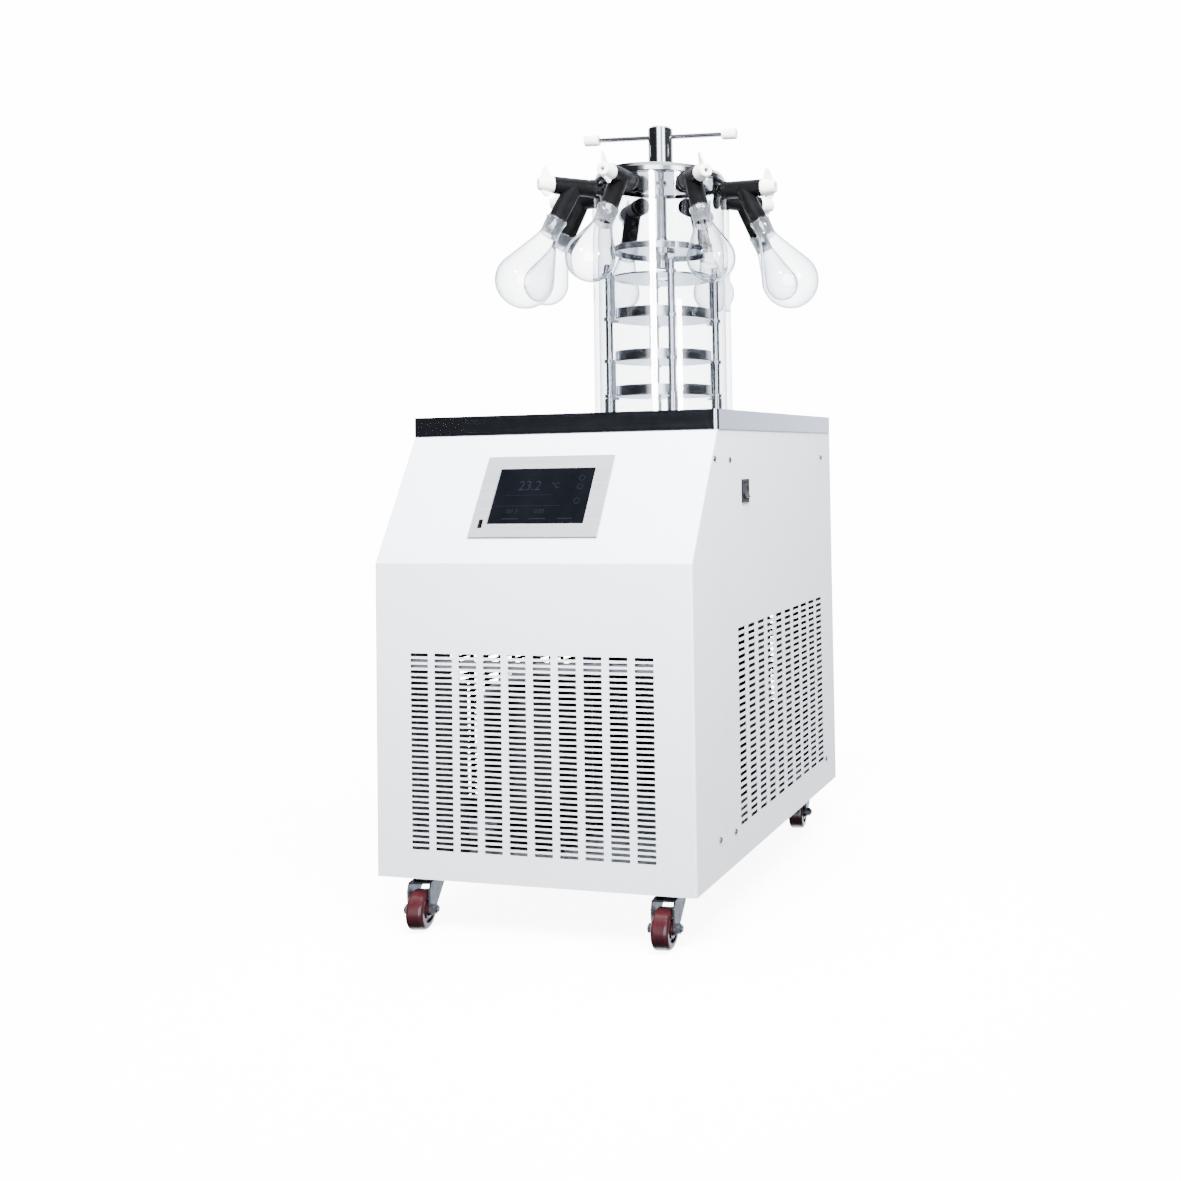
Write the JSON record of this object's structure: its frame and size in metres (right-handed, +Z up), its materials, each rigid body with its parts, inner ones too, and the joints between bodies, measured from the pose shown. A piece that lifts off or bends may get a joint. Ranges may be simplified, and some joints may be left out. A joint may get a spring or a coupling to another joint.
{
  "type": "freeze dryer",
  "caption": "Floor-standing laboratory freeze dryer on casters: white cabinet with touch screen and grilles, clear drum chamber with a shelf rack, stoppering press and flask valves.",
  "frame": {"origin": "on the floor, under the middle of the cabinet", "axes": "+Z up, the front with the touch screen faces -Y, +X to the right seen from the front"},
  "size_m": [0.538, 0.7052, 1.2143],
  "materials": {
    "white_paint": "white powder coat, satin",
    "frame_paint": "light grey paint",
    "stainless": "brushed stainless steel",
    "polished_steel": "polished stainless steel",
    "bezel_alu": "brushed aluminium",
    "screen_glass": "glossy black screen",
    "black_plastic": "satin black plastic",
    "white_plastic": "glossy white plastic",
    "black_rubber": "satin black rubber",
    "white_rubber": "pale silicone rubber",
    "clear_acrylic": "clear cast acrylic",
    "clear_glass": "clear borosilicate glass",
    "zinc_steel": "zinc-plated steel",
    "dark_steel": "dark plated steel",
    "maroon_tread": "maroon polyurethane",
    "brass": "brass",
    "red_lever": "red coated lever",
    "black_enamel": "black enamel",
    "coil_aluminium": "aluminium fins on copper tube",
    "foam": "closed-cell foam",
    "line_cover": "insulated refrigerant line"
  },
  "bodies": {
    "cabinet": {"chassis": "frame_paint", "front_cover": "white_paint", "side_panel_left": "white_paint", "side_panel_right": "white_paint", "rear_panel": "white_paint", "top_plate": "stainless", "panel_screws": "polished_steel", "screen_bezel": "bezel_alu", "touch_screen": "screen_glass", "usb_socket": "black_plastic", "switch_housing": "black_plastic", "mains_inlet": "black_plastic", "vacuum_port": "polished_steel", "drain_valve": "brass", "compressor": "black_enamel", "condenser": "coil_aluminium", "fan_motor": "black_enamel", "cold_trap": "stainless", "trap_insulation": "foam", "refrigerant_lines": "line_cover", "control_box": "frame_paint", "caster_plates": "dark_steel", "seal_rings": "white_rubber", "chamber_tube": "clear_acrylic", "lid": "polished_steel", "rack_rods": "polished_steel", "tray_4": "polished_steel", "valve_bodies": "black_rubber", "flasks": "clear_glass", "shelf_4": "stainless"},
    "rocker": {"switch_rocker": "black_plastic"},
    "drain_handle": {"drain_lever": "red_lever"},
    "fan": {"fan_rotor": "black_plastic"},
    "press_handle": {"press_hub": "polished_steel", "handle_bar": "polished_steel", "bar_caps": "white_plastic", "press_screw": "polished_steel"},
    "press": {"press_nut": "polished_steel", "press_plate": "polished_steel"},
    "shelf_one": {"shelf_1": "stainless"},
    "shelf_two": {"shelf_2": "stainless", "tray_2": "polished_steel"},
    "shelf_three": {"shelf_3": "stainless", "tray_3": "polished_steel"},
    "swivel_1": {"caster_fork_1": "zinc_steel"},
    "roller_1": {"caster_wheel_1": "maroon_tread"},
    "swivel_2": {"caster_fork_2": "zinc_steel"},
    "roller_2": {"caster_wheel_2": "maroon_tread"},
    "swivel_3": {"caster_fork_3": "zinc_steel"},
    "roller_3": {"caster_wheel_3": "maroon_tread"},
    "swivel_4": {"caster_fork_4": "zinc_steel"},
    "roller_4": {"caster_wheel_4": "maroon_tread"},
    "knob_1": {"valve_knob_1": "white_plastic"},
    "knob_2": {"valve_knob_2": "white_plastic"},
    "knob_3": {"valve_knob_3": "white_plastic"},
    "knob_4": {"valve_knob_4": "white_plastic"},
    "knob_5": {"valve_knob_5": "white_plastic"},
    "knob_6": {"valve_knob_6": "white_plastic"},
    "knob_7": {"valve_knob_7": "white_plastic"},
    "knob_8": {"valve_knob_8": "white_plastic"}
  },
  "joints": [
    {"name": "handle_turn", "type": "hinge", "parent": "cabinet", "child": "press_handle", "pos_m": [0, 0.132, 1.131], "axis": [0, 0, 1], "range_deg": [0, 6840]},
    {"name": "press_slide", "type": "slide", "parent": "cabinet", "child": "press", "axis": [0, 0, -1], "range_m": [0, 0.038]},
    {"name": "shelf_1_slide", "type": "slide", "parent": "cabinet", "child": "shelf_one", "axis": [0, 0, -1], "range_m": [0, 0.036]},
    {"name": "shelf_2_slide", "type": "slide", "parent": "cabinet", "child": "shelf_two", "axis": [0, 0, -1], "range_m": [0, 0.024]},
    {"name": "shelf_3_slide", "type": "slide", "parent": "cabinet", "child": "shelf_three", "axis": [0, 0, -1], "range_m": [0, 0.012]},
    {"name": "valve_1_turn", "type": "hinge", "parent": "cabinet", "child": "knob_1", "pos_m": [0, 0.132, 1.098], "axis": [0, -1, 0], "range_deg": [0, 180]},
    {"name": "valve_2_turn", "type": "hinge", "parent": "cabinet", "child": "knob_2", "pos_m": [0, 0.132, 1.098], "axis": [0.7071, -0.7071, 0], "range_deg": [0, 180]},
    {"name": "valve_3_turn", "type": "hinge", "parent": "cabinet", "child": "knob_3", "pos_m": [0, 0.132, 1.098], "axis": [1, 0, 0], "range_deg": [0, 180]},
    {"name": "valve_4_turn", "type": "hinge", "parent": "cabinet", "child": "knob_4", "pos_m": [0, 0.132, 1.098], "axis": [0.7071, 0.7071, 0], "range_deg": [0, 180]},
    {"name": "valve_5_turn", "type": "hinge", "parent": "cabinet", "child": "knob_5", "pos_m": [0, 0.132, 1.098], "axis": [0, 1, 0], "range_deg": [0, 180]},
    {"name": "valve_6_turn", "type": "hinge", "parent": "cabinet", "child": "knob_6", "pos_m": [0, 0.132, 1.098], "axis": [-0.7071, 0.7071, 0], "range_deg": [0, 180]},
    {"name": "valve_7_turn", "type": "hinge", "parent": "cabinet", "child": "knob_7", "pos_m": [0, 0.132, 1.098], "axis": [-1, 0, 0], "range_deg": [0, 180]},
    {"name": "valve_8_turn", "type": "hinge", "parent": "cabinet", "child": "knob_8", "pos_m": [0, 0.132, 1.098], "axis": [-0.7071, -0.7071, 0], "range_deg": [0, 180]},
    {"name": "rocker_tip", "type": "hinge", "parent": "cabinet", "child": "rocker", "pos_m": [0.239, -0.11, 0.597], "axis": [0, 1, 0], "range_deg": [0, 18]},
    {"name": "drain_turn", "type": "hinge", "parent": "cabinet", "child": "drain_handle", "pos_m": [-0.11, 0.332, 0.494], "axis": [0, 0, 1], "range_deg": [0, 90]},
    {"name": "fan_spin", "type": "hinge", "parent": "cabinet", "child": "fan", "pos_m": [0, 0.202, 0.226], "axis": [0, 1, 0], "continuous": true},
    {"name": "swivel_1_turn", "type": "hinge", "parent": "cabinet", "child": "swivel_1", "pos_m": [-0.185, -0.264, 0.062], "axis": [0, 0, 1], "continuous": true},
    {"name": "wheel_1_roll", "type": "hinge", "parent": "swivel_1", "child": "roller_1", "pos_m": [-0.18043, -0.28552, 0.027], "axis": [0.9781, 0.2079, 0], "continuous": true},
    {"name": "swivel_2_turn", "type": "hinge", "parent": "cabinet", "child": "swivel_2", "pos_m": [0.185, -0.264, 0.062], "axis": [0, 0, 1], "continuous": true},
    {"name": "wheel_2_roll", "type": "hinge", "parent": "swivel_2", "child": "roller_2", "pos_m": [0.1873, -0.28588, 0.027], "axis": [0.9945, 0.1045, 0], "continuous": true},
    {"name": "swivel_3_turn", "type": "hinge", "parent": "cabinet", "child": "swivel_3", "pos_m": [0.185, 0.264, 0.062], "axis": [0, 0, 1], "continuous": true},
    {"name": "wheel_3_roll", "type": "hinge", "parent": "swivel_3", "child": "roller_3", "pos_m": [0.18806, 0.24221, 0.027], "axis": [0.9903, 0.1392, 0], "continuous": true},
    {"name": "swivel_4_turn", "type": "hinge", "parent": "cabinet", "child": "swivel_4", "pos_m": [-0.185, 0.264, 0.062], "axis": [0, 0, 1], "continuous": true},
    {"name": "wheel_4_roll", "type": "hinge", "parent": "swivel_4", "child": "roller_4", "pos_m": [-0.18118, 0.24233, 0.027], "axis": [0.9848, 0.1736, 0], "continuous": true}
  ],
  "couplings": [
    {"joint": "handle_turn", "follows": "press_slide", "rad_per_m": 3141.6},
    {"joint": "shelf_2_slide", "follows": "shelf_1_slide", "ratio": 0.66666},
    {"joint": "shelf_3_slide", "follows": "shelf_1_slide", "ratio": 0.33333}
  ]
}
